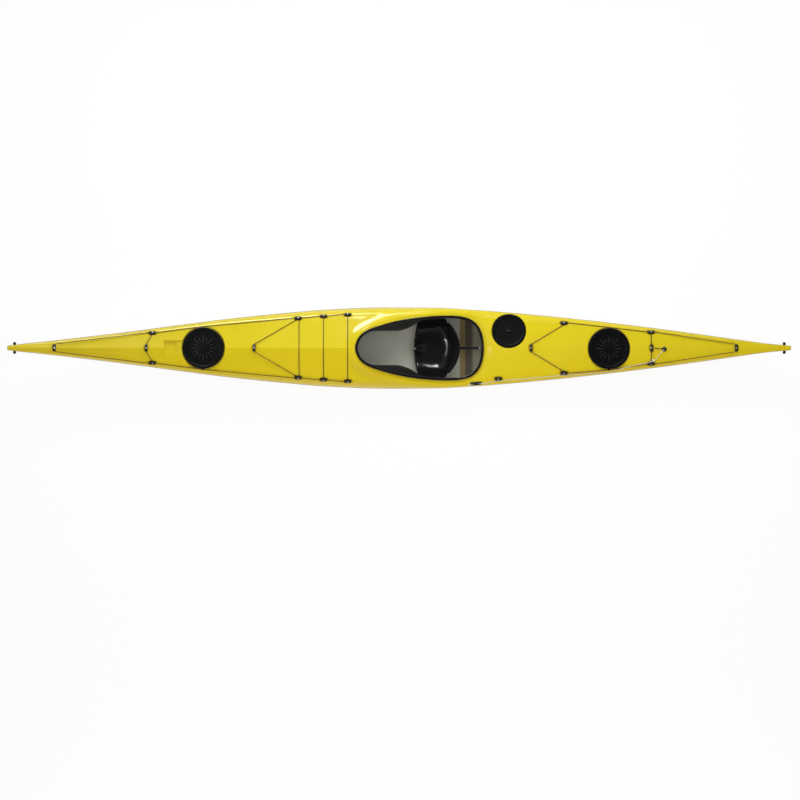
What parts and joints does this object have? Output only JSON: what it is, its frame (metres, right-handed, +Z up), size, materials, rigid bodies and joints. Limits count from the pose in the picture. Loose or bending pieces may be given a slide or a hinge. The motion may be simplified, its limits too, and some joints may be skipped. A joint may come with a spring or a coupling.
{
  "type": "sea kayak",
  "caption": "Slender composite sea kayak with a keyhole-shaped cockpit and coaming, bucket seat, back band, round hatches with rubber covers, deck lines, foot braces and a drop skeg.",
  "frame": {"origin": "on the floor under the middle of the bounding box, midway between bow and stern", "axes": "+X runs aft along the keel, +Y to starboard, +Z up"},
  "size_m": [5.3838, 0.559, 0.5125],
  "materials": {
    "white_gelcoat": "polished gelcoat over glass laminate",
    "yellow_gelcoat": "polished gelcoat over glass laminate",
    "black_gelcoat": "satin black joint tape",
    "black_laminate": "glossy black moulded laminate",
    "bare_laminate": "unpainted laminate, light sheen",
    "padded_fabric": "black woven cover over foam",
    "hatch_rubber": "matt black rubber",
    "black_plastic": "black moulded plastic",
    "steel": "polished stainless steel",
    "dark_cord": "braided cord",
    "white_cord": "braided cord"
  },
  "bodies": {
    "boat": {"hull_shell": "white_gelcoat", "deck_shell": "yellow_gelcoat", "seam_band": "black_gelcoat", "cockpit_coaming": "black_laminate", "seat": "black_laminate", "front_bulkhead": "bare_laminate", "cockpit_bulkhead": "bare_laminate", "day_bulkhead": "bare_laminate", "back_band_strap": "padded_fabric", "front_hatch_rim": "black_plastic", "rear_hatch_rim": "black_plastic", "day_hatch_rim": "black_plastic", "port_foot_rail": "black_plastic", "starboard_foot_rail": "black_plastic", "skeg_case": "black_plastic", "skeg_cleat": "black_plastic", "skeg_exit_ring": "black_plastic", "bow_fitting": "black_plastic", "fore_centre_fitting_1": "black_plastic", "fore_centre_fitting_2": "black_plastic", "port_fitting_1": "black_plastic", "starboard_fitting_1": "black_plastic", "port_fitting_2": "black_plastic", "starboard_fitting_2": "black_plastic", "port_fitting_3": "black_plastic", "starboard_fitting_3": "black_plastic", "port_fitting_4": "black_plastic", "starboard_fitting_4": "black_plastic", "port_fitting_5": "black_plastic", "aft_centre_fitting_1": "black_plastic", "port_fitting_6": "black_plastic", "starboard_fitting_6": "black_plastic", "port_fitting_7": "black_plastic", "starboard_fitting_7": "black_plastic", "aft_centre_fitting_2": "black_plastic", "stern_fitting": "black_plastic", "skeg_fairlead": "steel", "fore_deck_line": "dark_cord", "aft_deck_line": "dark_cord", "fore_hatch_bungee": "dark_cord", "fore_vee_bungee": "dark_cord", "fore_cross_bungee_1": "dark_cord", "fore_cross_bungee_2": "dark_cord", "fore_cross_bungee_3": "dark_cord", "aft_vee_bungee": "dark_cord", "aft_cross_bungee": "dark_cord", "skeg_bungee": "dark_cord", "skeg_line": "white_cord"},
    "front_hatch_cover": {"front_hatch_cover": "hatch_rubber"},
    "day_hatch_cover": {"day_hatch_cover": "hatch_rubber"},
    "rear_hatch_cover": {"rear_hatch_cover": "hatch_rubber"},
    "back_band": {"back_band": "padded_fabric"},
    "port_pedal": {"port_foot_pedal": "black_plastic"},
    "starboard_pedal": {"starboard_foot_pedal": "black_plastic"},
    "skeg": {"skeg_blade": "black_plastic"},
    "bow_toggle": {"bow_toggle_cord": "dark_cord", "bow_toggle_grip": "black_plastic"},
    "stern_toggle": {"stern_toggle_cord": "dark_cord", "stern_toggle_grip": "black_plastic"}
  },
  "joints": [
    {"name": "front_cover_lift", "type": "slide", "parent": "boat", "child": "front_hatch_cover", "axis": [0, 0, 1], "range_m": [0, 0.06]},
    {"name": "day_cover_lift", "type": "slide", "parent": "boat", "child": "day_hatch_cover", "axis": [0, 0.1564, 0.9877], "range_m": [0, 0.06]},
    {"name": "rear_cover_lift", "type": "slide", "parent": "boat", "child": "rear_hatch_cover", "axis": [0, 0, 1], "range_m": [0, 0.06]},
    {"name": "back_band_tilt", "type": "hinge", "parent": "boat", "child": "back_band", "pos_m": [0.33, 0, 0.17], "axis": [0, 1, 0], "range_deg": [-30, 0]},
    {"name": "port_pedal_slide", "type": "slide", "parent": "boat", "child": "port_pedal", "axis": [0.9942, -0.084, -0.0677], "range_m": [-0.15, 0.15]},
    {"name": "starboard_pedal_slide", "type": "slide", "parent": "boat", "child": "starboard_pedal", "axis": [0.9942, 0.084, -0.0677], "range_m": [-0.15, 0.15]},
    {"name": "skeg_pivot", "type": "hinge", "parent": "boat", "child": "skeg", "pos_m": [1.822, 0, 0.074], "axis": [0, 1, 0], "range_deg": [0, 50]},
    {"name": "bow_toggle_swing", "type": "hinge", "parent": "boat", "child": "bow_toggle", "pos_m": [-2.646, 0, 0.452], "axis": [0, 1, 0], "range_deg": [-15, 75]},
    {"name": "stern_toggle_swing", "type": "hinge", "parent": "boat", "child": "stern_toggle", "pos_m": [2.65, 0, 0.324], "axis": [0, 1, 0], "range_deg": [-75, 4]}
  ]
}
